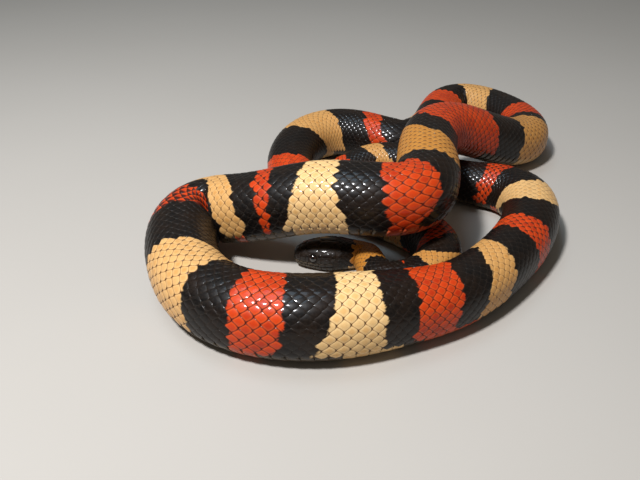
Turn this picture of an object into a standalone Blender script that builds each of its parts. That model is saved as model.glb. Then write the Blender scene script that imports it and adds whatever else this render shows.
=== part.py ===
"""Milk snake lying in a loose pile of coils: the solids of a still, life-size model.

The body is one long swept form. Its middle line is a route of hand-chosen places, smoothed like a
bent rod, and its girth is named at each place. The route is then parted into lengths, one object
each, with a thin cut between them. The head is lofted along its own short line and carries a lip
line, nostrils and sockets for the eyes.
"""
import math

import bmesh
import bpy
import numpy as np
from mathutils import Matrix, Vector

MM = 0.001

# Sizes of the animal, in millimetres
HEAD_LENGTH = 19.8
HEAD_HALF_WIDTH = 6.35
EYE_RADIUS = 1.42
EYE_GAP = 0.3
NOSTRIL_RADIUS = 0.42
LIP_GROOVE = 0.42
HEIGHT_TO_WIDTH = 0.92
CUT = 0.3

# How finely the body is divided
RING_STEP = 3.5
RING_SIDES = 24
SMOOTHING_PASSES = 16
SMOOTHING_STEP = 1.0
INNER_LIMIT = 0.74
# Moves the route so that the origin is below the middle of the whole pile
ROUTE_SHIFT = (0.65, -3.57)

# The route of the body from the back of the head to the tip of the tail, in millimetres.
# Each place gives x, y, the height of the belly above the floor, and the width of the body.
ROUTE = {
    "neck": (
        (-12.8, -41.0, 0.4, 9.6),
        (-9.9, -39.8, 0.3, 9.7),
        (-6.9, -43.0, 0.2, 9.9),
        (-7.6, -51.0, 0.0, 10.6),
        (-3.8, -57.2, 0.0, 11.4),
        (4.5, -57.4, 0.0, 12.2),
    ),
    "forebody": (
        (13.2, -51.6, 0.0, 13.6),
        (17.0, -43.5, 0.0, 15.6),
        (13.8, -33.5, 0.0, 16.2),
        (4.0, -23.0, 0.0, 16.4),
    ),
    "hidden_link": (
        (-11.0, -12.5, 0.0, 16.8),
        (-26.5, -3.5, 0.0, 17.4),
        (-36.5, 10.0, 0.0, 18.4),
        (-36.8, 28.5, 0.0, 19.8),
    ),
    "back_coil": (
        (-30.0, 48.0, 0.2, 21.0),
        (-14.0, 55.5, 0.2, 21.4),
        (0.5, 48.0, 0.2, 20.8),
        (14.0, 39.5, 0.0, 19.6),
    ),
    "far_coil": (
        (27.0, 55.5, 0.0, 19.8),
        (33.0, 75.0, 0.0, 20.0),
        (40.0, 92.0, 0.0, 20.0),
        (53.0, 93.5, 0.0, 20.0),
    ),
    "far_bend": (
        (65.0, 79.0, 0.0, 20.0),
        (71.5, 61.5, 0.0, 20.0),
        (68.5, 45.5, 0.3, 20.4),
    ),
    "climb": (
        (60.0, 37.0, 1.6, 21.0),
        (46.5, 29.5, 6.9, 21.6),
        (33.0, 22.0, 14.5, 21.4),
        (21.0, 13.5, 18.7, 21.0),
    ),
    "crossing": (
        (14.0, -7.0, 19.0, 20.8),
        (13.2, -27.0, 17.5, 22.0),
        (8.0, -42.6, 16.3, 23.2),
        (-6.0, -43.8, 15.9, 24.0),
    ),
    "upper_coil": (
        (-24.0, -38.0, 15.3, 24.0),
        (-40.5, -34.8, 9.4, 24.0),
    ),
    "left_bend": (
        (-52.0, -30.0, 5.2, 24.0),
        (-61.5, -26.0, 3.4, 23.8),
        (-69.2, -31.0, 2.2, 23.4),
        (-70.6, -42.5, 1.0, 23.2),
        (-66.6, -57.5, 0.2, 23.2),
    ),
    "front_coil_left": (
        (-58.5, -72.0, 0.0, 23.2),
        (-45.0, -80.4, 0.0, 23.6),
        (-30.5, -83.0, 0.0, 24.4),
    ),
    "front_coil_right": (
        (-16.5, -81.8, 0.0, 24.2),
        (-1.5, -77.2, 0.2, 22.0),
        (13.5, -71.8, 0.2, 19.8),
        (26.2, -61.6, 0.1, 19.0),
    ),
    "right_loop": (
        (38.8, -47.0, 0.0, 19.2),
        (50.4, -29.5, 0.0, 19.8),
        (55.0, -9.5, 0.0, 19.8),
        (47.0, 2.0, 0.0, 18.4),
    ),
    "tail_base": (
        (32.5, 4.5, 0.7, 16.6),
        (18.5, 15.5, 1.9, 15.4),
        (7.0, 26.5, 2.6, 15.0),
        (-4.5, 25.0, 1.4, 14.6),
    ),
    "tail": (
        (-15.0, 20.5, 0.2, 12.8),
        (-19.0, 11.5, 0.0, 11.2),
        (-13.0, 4.6, 0.0, 9.6),
        (-3.5, 5.0, 0.0, 8.2),
        (6.0, 8.6, 0.0, 6.6),
        (14.5, 6.0, 0.0, 4.8),
        (20.0, -2.0, 0.0, 2.8),
    ),
}

# Colour, roughness and metallic value of each length, taken from its widest rings
BLACK = (0.014, 0.012, 0.012, 1.0)
CREAM = (0.78, 0.56, 0.29, 1.0)
RED = (0.52, 0.055, 0.018, 1.0)
SHINY = 0.32

LENGTH_COLOURS = {
    "neck": CREAM,
    "forebody": BLACK,
    "hidden_link": RED,
    "back_coil": CREAM,
    "far_coil": BLACK,
    "far_bend": CREAM,
    "climb": RED,
    "crossing": RED,
    "upper_coil": BLACK,
    "left_bend": CREAM,
    "front_coil_left": RED,
    "front_coil_right": BLACK,
    "right_loop": RED,
    "tail_base": BLACK,
    "tail": BLACK,
}

# Head stations: distance from the nape, half width, height of the crown, height of the throat
HEAD_STATIONS = (
    (0.0, 4.80, 9.1, 0.40),
    (2.0, 5.30, 9.2, 0.20),
    (4.0, 6.00, 9.4, 0.00),
    (6.2, 6.35, 9.5, 0.00),
    (8.5, 6.25, 9.45, 0.00),
    (10.5, 5.95, 9.25, 0.10),
    (12.5, 5.50, 8.95, 0.25),
    (14.5, 5.00, 8.5, 0.45),
    (16.3, 4.45, 7.95, 0.70),
    (17.8, 3.80, 7.25, 1.00),
    (18.9, 3.00, 6.5, 1.35),
    (19.5, 2.10, 5.8, 1.75),
    (19.8, 1.00, 5.0, 2.35),
)
HEAD_RING_STEP = 0.62
MOUTH_START = 5.2
MOUTH_HEIGHT_FRONT = 2.75
MOUTH_HEIGHT_MIDDLE = 2.35
MOUTH_HEIGHT_CORNER = 3.1
EYE_PLACE = 12.9
EYE_HEIGHT = 5.5
EYE_SINK = 0.62
NOSTRIL_PLACE = 18.2
NOSTRIL_HEIGHT = 4.55


def clear_scene():
    for old in list(bpy.data.objects):
        bpy.data.objects.remove(old, do_unlink=True)


def make_collection(name):
    made = bpy.data.collections.new(name)
    bpy.context.scene.collection.children.link(made)
    return made


def make_material(name, colour, roughness):
    made = bpy.data.materials.new(name)
    made.use_nodes = True
    shader = made.node_tree.nodes["Principled BSDF"]
    shader.inputs["Base Color"].default_value = colour
    shader.inputs["Roughness"].default_value = roughness
    shader.inputs["Metallic"].default_value = 0.0
    made.diffuse_color = colour
    return made


def spline_weights(t):
    """Weights of four neighbouring places for a uniform cubic B-spline."""
    return (
        (1 - t) ** 3 / 6,
        (3 * t ** 3 - 6 * t ** 2 + 4) / 6,
        (-3 * t ** 3 + 3 * t ** 2 + 3 * t + 1) / 6,
        t ** 3 / 6,
    )


def spline_through(places, steps=24):
    """A smooth line along the places, with the number of the place as a last column."""
    ext = np.vstack([2 * places[0] - places[1], places, 2 * places[-1] - places[-2]])
    line = []
    for i in range(len(places) - 1):
        for k in range(steps):
            weights = spline_weights(k / steps)
            point = sum(w * ext[i + j] for j, w in enumerate(weights))
            line.append(np.append(point, i + k / steps))
    line.append(np.append(places[-1], len(places) - 1))
    return np.array(line)


def distances_along(line):
    steps = np.linalg.norm(np.diff(line[:, :3], axis=0), axis=1)
    return np.concatenate([[0.0], np.cumsum(steps)])


def resampled(line, distances, wanted):
    columns = [np.interp(wanted, distances, line[:, k]) for k in range(line.shape[1])]
    return np.column_stack(columns)


def body_line():
    """The middle line of the body: x, y, z, width and place number, one row a millimetre."""
    places = np.array([place for stretch in ROUTE.values() for place in stretch])
    half_height = places[:, 3] * HEIGHT_TO_WIDTH / 2
    places = np.column_stack([places[:, :2] + ROUTE_SHIFT, places[:, 2] + half_height, places[:, 3]])
    line = spline_through(places)
    distances = distances_along(line)
    count = int(round(distances[-1] / SMOOTHING_STEP))
    line = resampled(line, distances, np.linspace(0, distances[-1], count + 1))
    for _ in range(SMOOTHING_PASSES):
        line[1:-1] = line[1:-1] / 2 + (line[:-2] + line[2:]) / 4
    # The belly never sinks below the floor
    line[:, 2] = np.maximum(line[:, 2], line[:, 3] * HEIGHT_TO_WIDTH / 2)
    return line


def line_frames(line):
    """Tangent, side and up directions, and the signed bend to each side in plan."""
    tangent = np.gradient(line[:, :3], axis=0)
    tangent /= np.linalg.norm(tangent, axis=1)[:, None]
    side = np.cross(tangent, [0.0, 0.0, 1.0])
    side /= np.linalg.norm(side, axis=1)[:, None]
    up = np.cross(side, tangent)
    step = np.gradient(distances_along(line))
    bend = np.einsum("ij,ij->i", np.gradient(tangent, axis=0) / step[:, None], side)
    for _ in range(2):
        bend[1:-1] = bend[1:-1] / 2 + (bend[:-2] + bend[2:]) / 4
    return tangent, side, up, bend


def loaf_section(sides):
    """Unit outline of a resting snake: round back, firm flanks and a flat belly."""
    outline = []
    for k in range(sides):
        angle = 2 * math.pi * k / sides
        across, rise = math.cos(angle), math.sin(angle)
        power = 2 / 2.1 if rise > 0 else 2 / 2.7
        across = math.copysign(abs(across) ** power, across)
        rise = math.copysign(min(1.0, 1.02 * abs(rise) ** power), rise)
        outline.append((across, rise))
    return outline


def body_ring(row, side, up, bend, outline):
    """One ring of points, with the inside of a tight bend drawn in so that it never folds."""
    half_width = row[3] / 2
    half_height = half_width * HEIGHT_TO_WIDTH
    tightness = abs(bend)
    inner = half_width
    if tightness > 0:
        inner = min(half_width, INNER_LIMIT / tightness)
    ring = []
    for across, rise in outline:
        towards_inside = across * bend > 0
        reach = inner if towards_inside else half_width
        point = row[:3] + side * (across * reach) + up * (rise * half_height)
        point[2] = max(point[2], 0.0)
        ring.append(point)
    return ring


def loft(name, rings, tip=None):
    """Joins rings of equal count into one closed mesh, with flat ends or a pointed tip."""
    bm = bmesh.new()
    rows = [[bm.verts.new(Vector(p) * MM) for p in ring] for ring in rings]
    count = len(rings[0])
    for near, far in zip(rows[:-1], rows[1:]):
        for k in range(count):
            m = (k + 1) % count
            bm.faces.new((near[k], near[m], far[m], far[k]))
    bm.faces.new(list(reversed(rows[0])))
    if tip is None:
        bm.faces.new(rows[-1])
    else:
        point = bm.verts.new(Vector(tip) * MM)
        for k in range(count):
            bm.faces.new((rows[-1][k], rows[-1][(k + 1) % count], point))
    bmesh.ops.recalc_face_normals(bm, faces=bm.faces)
    mesh = bpy.data.meshes.new(name)
    bm.to_mesh(mesh)
    bm.free()
    return mesh


def shade_smooth(mesh, sharp_angle=50.0):
    """Smooth shading with crisp edges where faces meet steeply."""
    for polygon in mesh.polygons:
        polygon.use_smooth = True
    mesh.set_sharp_from_angle(angle=math.radians(sharp_angle))


def add_object(name, mesh, collection, material):
    made = bpy.data.objects.new(name, mesh)
    collection.objects.link(made)
    mesh.materials.append(material)
    shade_smooth(mesh)
    return made


def centre_origin(thing):
    """Moves an object's origin to the middle of its own box."""
    corners = [Vector(c) for c in thing.bound_box]
    middle = sum(corners, Vector()) / len(corners)
    thing.data.transform(Matrix.Translation(-middle))
    thing.location = middle


def body_lengths(collection):
    """One object for each length of the route, with a thin cut between neighbours."""
    line = body_line()
    distances = distances_along(line)
    tangent, side, up, bend = line_frames(line)
    outline = loaf_section(RING_SIDES)
    first_places = np.cumsum([0] + [len(stretch) for stretch in ROUTE.values()])
    ends = np.interp(first_places[:-1] - 0.5, line[:, 4], distances)
    ends[0] = 0.0
    ends = np.append(ends, distances[-1])
    for number, name in enumerate(ROUTE):
        is_last = name == "tail"
        start = ends[number] + CUT / 2
        stop = ends[number + 1] - (0.0 if is_last else CUT / 2)
        steps = max(3, int(math.ceil((stop - start) / RING_STEP)))
        wanted = np.linspace(start, stop, steps + 1)
        rows = resampled(line, distances, wanted)
        sides = resampled(side, distances, wanted)
        ups = resampled(up, distances, wanted)
        bends = np.interp(wanted, distances, bend)
        rings = []
        for row, s, u, b in zip(rows, sides, ups, bends):
            s /= np.linalg.norm(s)
            u /= np.linalg.norm(u)
            rings.append(body_ring(row, s, u, b, outline))
        tip = None
        if is_last:
            tip = rows[-1][:3] + tangent[-1] * rows[-1][3] * 0.6
        mesh = loft(name, rings, tip)
        material = make_material(name, LENGTH_COLOURS[name], SHINY)
        centre_origin(add_object(name, mesh, collection, material))


def head_profile(distance):
    """Half width, crown height and throat height at a distance from the nape."""
    table = np.array(HEAD_STATIONS)
    ext = np.vstack([2 * table[0] - table[1], table, 2 * table[-1] - table[-2]])
    i = int(np.clip(np.searchsorted(table[:, 0], distance, side="right") - 1, 0, len(table) - 2))
    t = (distance - table[i, 0]) / (table[i + 1, 0] - table[i, 0])
    values = []
    for k in (1, 2, 3):
        a, b, c, d = ext[i:i + 4, k]
        slope_in = (c - a) / 2
        slope_out = (d - b) / 2
        h00 = 2 * t ** 3 - 3 * t ** 2 + 1
        h10 = t ** 3 - 2 * t ** 2 + t
        h01 = -2 * t ** 3 + 3 * t ** 2
        h11 = t ** 3 - t ** 2
        values.append(h00 * b + h10 * slope_in + h01 * c + h11 * slope_out)
    half_width, crown, throat = values
    return half_width, crown, max(throat, 0.0)


def mouth_height(distance):
    """Height of the lip line: lowest below the eye, rising to the snout and to the corner."""
    middle = EYE_PLACE
    if distance > middle:
        t = (distance - middle) / (HEAD_LENGTH - middle)
        return MOUTH_HEIGHT_MIDDLE + (MOUTH_HEIGHT_FRONT - MOUTH_HEIGHT_MIDDLE) * t * t
    t = (middle - distance) / (middle - MOUTH_START)
    return MOUTH_HEIGHT_MIDDLE + (MOUTH_HEIGHT_CORNER - MOUTH_HEIGHT_MIDDLE) * min(t, 1.2) ** 2


def head_half_section(distance):
    """Half outline of the head, from the crown down one side to the throat."""
    half_width, crown, throat = head_profile(distance)
    lip = mouth_height(distance)
    lip = min(max(lip, throat + 0.35 * (crown - throat) * 0.6), crown - 0.5 * (crown - throat))
    fade = min(1.0, max(0.0, (distance - MOUTH_START) / 1.5))
    fade *= min(1.0, half_width / 2.4)
    groove = LIP_GROOVE * fade
    shoulder = lip + 0.42 * (crown - lip)
    points = [(0.0, crown)]
    for k in range(1, 7):
        angle = math.radians(90 - 15 * k)
        across = half_width * abs(math.cos(angle)) ** 0.86
        points.append((across, shoulder + (crown - shoulder) * abs(math.sin(angle)) ** 0.92))
    points.append((half_width * 0.995, lip + 0.5 * (shoulder - lip)))
    edge = 0.2 * min(1.0, half_width / 2.4)
    points.append((half_width * 0.965, lip + edge))
    points.append((half_width * 0.955 - groove, lip))
    points.append((half_width * (0.95 - 0.03 * fade), lip - edge))
    below = lip - edge - throat
    points.append((half_width * 0.86, throat + 0.45 * below))
    points.append((half_width * 0.66, throat + 0.1 * below))
    points.append((half_width * 0.36, throat))
    points.append((0.0, throat))
    return points


def head_ring(distance):
    half = head_half_section(distance)
    left = [(distance, -across, rise) for across, rise in half]
    right = [(distance, across, rise) for across, rise in reversed(half[1:-1])]
    return left + right


def add_ball(name, radius, place, collection):
    bpy.ops.mesh.primitive_uv_sphere_add(segments=20, ring_count=12, radius=radius * MM,
                                         location=Vector(place) * MM)
    ball = bpy.context.object
    ball.name = name
    for owner in list(ball.users_collection):
        owner.objects.unlink(ball)
    collection.objects.link(ball)
    return ball


def apply_cut(target, cutter):
    cut = target.modifiers.new("cut", "BOOLEAN")
    cut.operation = "DIFFERENCE"
    cut.solver = "EXACT"
    cut.object = cutter
    bpy.context.view_layer.update()
    depsgraph = bpy.context.evaluated_depsgraph_get()
    mesh = bpy.data.meshes.new_from_object(target.evaluated_get(depsgraph))
    target.modifiers.remove(cut)
    target.data = mesh
    bpy.data.objects.remove(cutter, do_unlink=True)


def head_frame():
    """The head carries on from the first part of the neck line."""
    line = body_line()
    direction = Vector(line[0, :3] - line[1, :3])
    direction.z = 0.0
    direction.normalize()
    nape = Vector(line[0, :3])
    nape.z = 0.0
    side = Vector((0, 0, 1)).cross(direction)
    turn = Matrix((direction, side, Vector((0, 0, 1)))).transposed().to_4x4()
    return Matrix.Translation((nape + direction * CUT / 2) * MM) @ turn


def head_and_eyes(collection, cutters):
    count = int(round(HEAD_LENGTH / HEAD_RING_STEP))
    spread = np.linspace(0, 1, count + 1)
    # Rings stand closer together towards the rounded snout
    places = HEAD_LENGTH * (1 - (1 - spread) ** 1.25)
    mesh = loft("head", [head_ring(place) for place in places])
    head = add_object("head", mesh, collection, make_material("head", BLACK, SHINY))
    half_width, _, _ = head_profile(EYE_PLACE)
    eyes = []
    for name, sign in (("eye_left", 1), ("eye_right", -1)):
        place = (EYE_PLACE, sign * (half_width - EYE_SINK), EYE_HEIGHT)
        apply_cut(head, add_ball("socket", EYE_RADIUS + EYE_GAP, place, cutters))
        eye = add_ball(name, EYE_RADIUS, place, collection)
        eye.data.transform(Matrix.Translation(eye.location))
        eye.location = (0, 0, 0)
        eye.data.name = name
        eye.data.materials.append(make_material(name, BLACK, 0.08))
        shade_smooth(eye.data)
        eyes.append(eye)
        nostril_width, _, _ = head_profile(NOSTRIL_PLACE)
        nostril = (NOSTRIL_PLACE, sign * (nostril_width + 0.02), NOSTRIL_HEIGHT)
        apply_cut(head, add_ball("nostril", NOSTRIL_RADIUS, nostril, cutters))
    shade_smooth(head.data)
    frame = head_frame()
    for thing in [head] + eyes:
        thing.data.transform(frame)
        centre_origin(thing)


def build():
    clear_scene()
    collection = make_collection("milk_snake")
    cutters = make_collection("cutters")
    cutters.hide_render = True
    body_lengths(collection)
    head_and_eyes(collection, cutters)


build()
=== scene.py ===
"""Looks of the milk snake, a still, life-size model of it lying in a loose pile of coils."""
import math

import bmesh
import bpy
import numpy as np
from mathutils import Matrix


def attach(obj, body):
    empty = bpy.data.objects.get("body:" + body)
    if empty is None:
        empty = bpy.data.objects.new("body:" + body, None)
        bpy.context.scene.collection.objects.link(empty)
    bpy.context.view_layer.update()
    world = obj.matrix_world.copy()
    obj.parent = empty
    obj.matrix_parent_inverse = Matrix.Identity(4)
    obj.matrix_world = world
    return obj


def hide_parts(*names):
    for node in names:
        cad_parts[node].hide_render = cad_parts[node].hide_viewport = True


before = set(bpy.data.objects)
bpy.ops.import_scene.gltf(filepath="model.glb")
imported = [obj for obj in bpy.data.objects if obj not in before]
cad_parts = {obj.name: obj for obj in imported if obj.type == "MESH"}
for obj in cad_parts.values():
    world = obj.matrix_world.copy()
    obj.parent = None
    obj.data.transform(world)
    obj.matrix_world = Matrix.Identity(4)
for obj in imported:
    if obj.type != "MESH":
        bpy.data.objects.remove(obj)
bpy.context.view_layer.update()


# The skin. One unbroken hide of soft dark leather from snout to tail tip, which shows as fine dark
# lines between the scales. It is stretched over the form of body and head, a little inside the
# solids, by the depth of the scales that are laid on the same form further down.

# Course of the body from the nape to the tip of the tail: x, y, height of the belly above the floor
# and width, in millimetres
ROUTE = (
    # neck
    (-12.8, -41.0, 0.4, 9.6), (-9.9, -39.8, 0.3, 9.7), (-6.9, -43.0, 0.2, 9.9),
    (-7.6, -51.0, 0.0, 10.6), (-3.8, -57.2, 0.0, 11.4), (4.5, -57.4, 0.0, 12.2),
    # fore part of the body, passing below the upper coil
    (13.2, -51.6, 0.0, 13.6), (17.0, -43.5, 0.0, 15.6), (13.8, -33.5, 0.0, 16.2),
    (4.0, -23.0, 0.0, 16.4), (-11.0, -12.5, 0.0, 16.8), (-26.5, -3.5, 0.0, 17.4),
    (-36.5, 10.0, 0.0, 18.4), (-36.8, 28.5, 0.0, 19.8),
    # coils at the back
    (-30.0, 48.0, 0.2, 21.0), (-14.0, 55.5, 0.2, 21.4), (0.5, 48.0, 0.2, 20.8),
    (14.0, 39.5, 0.0, 19.6), (27.0, 55.5, 0.0, 19.8), (33.0, 75.0, 0.0, 20.0),
    (40.0, 92.0, 0.0, 20.0), (53.0, 93.5, 0.0, 20.0), (65.0, 79.0, 0.0, 20.0),
    (71.5, 61.5, 0.0, 20.0), (68.5, 45.5, 0.3, 20.4),
    # climbing over the tail and forward to the upper coil
    (60.0, 37.0, 1.6, 21.0), (46.5, 29.5, 6.9, 21.6), (33.0, 22.0, 14.5, 21.4),
    (21.0, 13.5, 18.7, 21.0), (14.0, -7.0, 19.0, 20.8), (13.2, -27.0, 17.5, 22.0),
    (8.0, -42.6, 16.3, 23.2), (-6.0, -43.8, 15.9, 24.0), (-24.0, -38.0, 15.3, 24.0),
    (-40.5, -34.8, 9.4, 24.0),
    # down the left bend to the front coil
    (-52.0, -30.0, 5.2, 24.0), (-61.5, -26.0, 3.4, 23.8), (-69.2, -31.0, 2.2, 23.4),
    (-70.6, -42.5, 1.0, 23.2), (-66.6, -57.5, 0.2, 23.2), (-58.5, -72.0, 0.0, 23.2),
    (-45.0, -80.4, 0.0, 23.6), (-30.5, -83.0, 0.0, 24.4), (-16.5, -81.8, 0.0, 24.2),
    (-1.5, -77.2, 0.2, 22.0), (13.5, -71.8, 0.2, 19.8), (26.2, -61.6, 0.1, 19.0),
    # right loop and tail
    (38.8, -47.0, 0.0, 19.2), (50.4, -29.5, 0.0, 19.8), (55.0, -9.5, 0.0, 19.8),
    (47.0, 2.0, 0.0, 18.4), (32.5, 4.5, 0.7, 16.6), (18.5, 15.5, 1.9, 15.4),
    (7.0, 26.5, 2.6, 15.0), (-4.5, 25.0, 1.4, 14.6), (-15.0, 20.5, 0.2, 12.8),
    (-19.0, 11.5, 0.0, 11.2), (-13.0, 4.6, 0.0, 9.6), (-3.5, 5.0, 0.0, 8.2),
    (6.0, 8.6, 0.0, 6.6), (14.5, 6.0, 0.0, 4.8), (20.0, -2.0, 0.0, 2.8),
)
# Brings the middle of the whole pile over the origin
ROUTE_SHIFT = (0.65, -3.57)
HEIGHT_TO_WIDTH = 0.92
# How much of the radius of a bend the inner side of the body may fill
INNER_LIMIT = 0.74
# Roundness of the section above and below, and how much both are flattened
BACK_ROUNDNESS = 2.1
BELLY_ROUNDNESS = 2.7
FLATTENING = 1.02
# Points from one place of the route to the next, and how often the line is smoothed
SPAN_POINTS = 24
SMOOTHING_PASSES = 16
RING_STEP = 0.5
MM = 0.001


def unit(v):
    return v / np.maximum(np.linalg.norm(v, axis=-1, keepdims=True), 1e-12)


def lengths_along(points):
    return np.append(0, np.cumsum(np.linalg.norm(np.diff(points, axis=0), axis=1)))


def middle_line():
    """x, y, z and width of the middle line, one row a millimetre, smoothed like a bent rod."""
    places = np.array(ROUTE)
    middle = places[:, 2] + places[:, 3] * HEIGHT_TO_WIDTH / 2
    places = np.column_stack([places[:, :2] + ROUTE_SHIFT, middle, places[:, 3]])
    ends = np.vstack([2 * places[0] - places[1], places, 2 * places[-1] - places[-2]])
    t = np.arange(SPAN_POINTS)[:, None] / SPAN_POINTS
    weights = ((1 - t) ** 3 / 6, (3 * t**3 - 6 * t**2 + 4) / 6,
               (-3 * t**3 + 3 * t**2 + 3 * t + 1) / 6, t**3 / 6)
    runs = [sum(w * ends[i + j] for j, w in enumerate(weights)) for i in range(len(places) - 1)]
    line = np.vstack(runs + [places[-1:]])
    away = lengths_along(line[:, :3])
    wanted = np.linspace(0, away[-1], int(round(away[-1])) + 1)
    line = np.column_stack([np.interp(wanted, away, line[:, k]) for k in range(4)])
    for _ in range(SMOOTHING_PASSES):
        line[1:-1] = line[1:-1] / 2 + (line[:-2] + line[2:]) / 4
    line[:, 2] = np.maximum(line[:, 2], line[:, 3] * HEIGHT_TO_WIDTH / 2)
    return line


# Places round the body are counted from the middle of the back, 0, to the middle of the belly,
# 1 on the one side and -1 on the other. Places along it are millimetres from the nape.
COLUMNS = 145
AROUND = np.linspace(-1, 1, COLUMNS)


def body_surface(line):
    """Points and outward normals of the swept body, a ring every half millimetre."""
    away = lengths_along(line[:, :3])
    tangent = unit(np.gradient(line[:, :3], axis=0))
    side = unit(np.cross(tangent, [0, 0, 1.0]))
    up = np.cross(side, tangent)
    turning = np.gradient(tangent, axis=0) / np.gradient(away)[:, None]
    bend = np.einsum("ij,ij->i", turning, side)
    for _ in range(2):
        bend[1:-1] = bend[1:-1] / 2 + (bend[:-2] + bend[2:]) / 4
    wanted = np.append(np.arange(0, away[-1], RING_STEP), away[-1])

    def at(values):
        return np.column_stack([np.interp(wanted, away, column) for column in values.T])

    line, side, up, bend = at(line), unit(at(side)), unit(at(up)), np.interp(wanted, away, bend)
    # Loaf-shaped section: round back, firm flanks, flat belly
    angle = np.radians(np.linspace(90, -90, 361))
    out, rise = np.cos(angle), np.sin(angle)
    power = np.where(rise > 0, 2 / BACK_ROUNDNESS, 2 / BELLY_ROUNDNESS)
    out = np.abs(out) ** power
    rise = np.sign(rise) * np.minimum(1.0, FLATTENING * np.abs(rise) ** power)
    share = lengths_along(np.column_stack([out, rise * HEIGHT_TO_WIDTH]))
    share /= share[-1]
    u = np.sign(AROUND) * np.interp(abs(AROUND), share, out)
    v = np.interp(abs(AROUND), share, rise)
    half = line[:, 3:4] / 2
    inner = np.minimum(half, INNER_LIMIT / np.maximum(abs(bend), 1e-9)[:, None])
    reach = np.where(u * bend[:, None] > 0, inner, half)
    high = half * HEIGHT_TO_WIDTH
    side, up, centre = side[:, None], up[:, None], line[:, None, :3]
    places = centre + side * (u * reach)[..., None] + up * (v * high)[..., None]
    places[..., 2] = np.maximum(places[..., 2], 0)
    normals = side * (-np.gradient(v) * high)[..., None] + up * (np.gradient(u) * reach)[..., None]
    normals = unit(normals)
    normals *= np.sign(np.einsum("ijk,ijk->ij", normals, places - centre))[..., None]
    return wanted, places, normals


# The head is a lofted form on its own short line: distance from the nape, half width, height of
# the crown and height of the throat. The mouth closes on a shallow groove along each side
HEAD_STATIONS = np.array((
    (0.0, 4.80, 9.1, 0.40), (2.0, 5.30, 9.2, 0.20), (4.0, 6.00, 9.4, 0.00), (6.2, 6.35, 9.5, 0.00),
    (8.5, 6.25, 9.45, 0.00), (10.5, 5.95, 9.25, 0.10), (12.5, 5.50, 8.95, 0.25),
    (14.5, 5.00, 8.5, 0.45), (16.3, 4.45, 7.95, 0.70), (17.8, 3.80, 7.25, 1.00),
    (18.9, 3.00, 6.5, 1.35), (19.5, 2.10, 5.8, 1.75), (19.8, 1.00, 5.0, 2.35),
))
HEAD_LENGTH = 19.8
NAPE_GAP = 0.15
MOUTH_START = 5.2
MOUTH_FRONT, MOUTH_MIDDLE, MOUTH_CORNER = 2.75, 2.35, 3.1
LIP_GROOVE = 0.42
EYE_PLACE = 12.9
HEAD_RING_STEP = 0.2
OUTLINE_STEPS = 8
LIP_POINT = 9


def head_sizes(d):
    """Half width, crown and throat at a distance from the nape, by a smooth curve."""
    table = HEAD_STATIONS
    ends = np.vstack([2 * table[0] - table[1], table, 2 * table[-1] - table[-2]])
    i = int(np.clip(np.searchsorted(table[:, 0], d, side="right") - 1, 0, len(table) - 2))
    t = (d - table[i, 0]) / (table[i + 1, 0] - table[i, 0])
    a, b, c, e = ends[i:i + 4, 1:]
    sizes = ((2 * t**3 - 3 * t**2 + 1) * b + (t**3 - 2 * t**2 + t) * (c - a) / 2
             + (3 * t**2 - 2 * t**3) * c + (t**3 - t**2) * (e - b) / 2)
    return sizes[0], sizes[1], max(sizes[2], 0.0)


def mouth_height(d):
    if d > EYE_PLACE:
        t = (d - EYE_PLACE) / (HEAD_LENGTH - EYE_PLACE)
        return MOUTH_MIDDLE + (MOUTH_FRONT - MOUTH_MIDDLE) * t * t
    t = (EYE_PLACE - d) / (EYE_PLACE - MOUTH_START)
    return MOUTH_MIDDLE + (MOUTH_CORNER - MOUTH_MIDDLE) * min(t, 1.2) ** 2


def head_half_section(d):
    """Half outline from the crown down one side to the throat, with the lip line at LIP_POINT."""
    half_width, crown, throat = head_sizes(d)
    lip = mouth_height(d)
    lip = min(max(lip, throat + 0.21 * (crown - throat)), crown - 0.5 * (crown - throat))
    small = min(1.0, half_width / 2.4)
    fade = min(1.0, max(0.0, (d - MOUTH_START) / 1.5)) * small
    shoulder = lip + 0.42 * (crown - lip)
    edge = 0.2 * small
    below = lip - edge - throat
    points = [(0.0, crown)]
    for k in range(1, 7):
        angle = math.radians(90 - 15 * k)
        points.append((half_width * abs(math.cos(angle)) ** 0.86,
                       shoulder + (crown - shoulder) * abs(math.sin(angle)) ** 0.92))
    points += [
        (half_width * 0.995, lip + 0.5 * (shoulder - lip)),
        (half_width * 0.965, lip + edge),
        (half_width * 0.955 - LIP_GROOVE * fade, lip),
        (half_width * (0.95 - 0.03 * fade), lip - edge),
        (half_width * 0.86, throat + 0.45 * below),
        (half_width * 0.66, throat + 0.1 * below),
        (half_width * 0.36, throat),
        (0.0, throat),
    ]
    return np.array(points)


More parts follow.
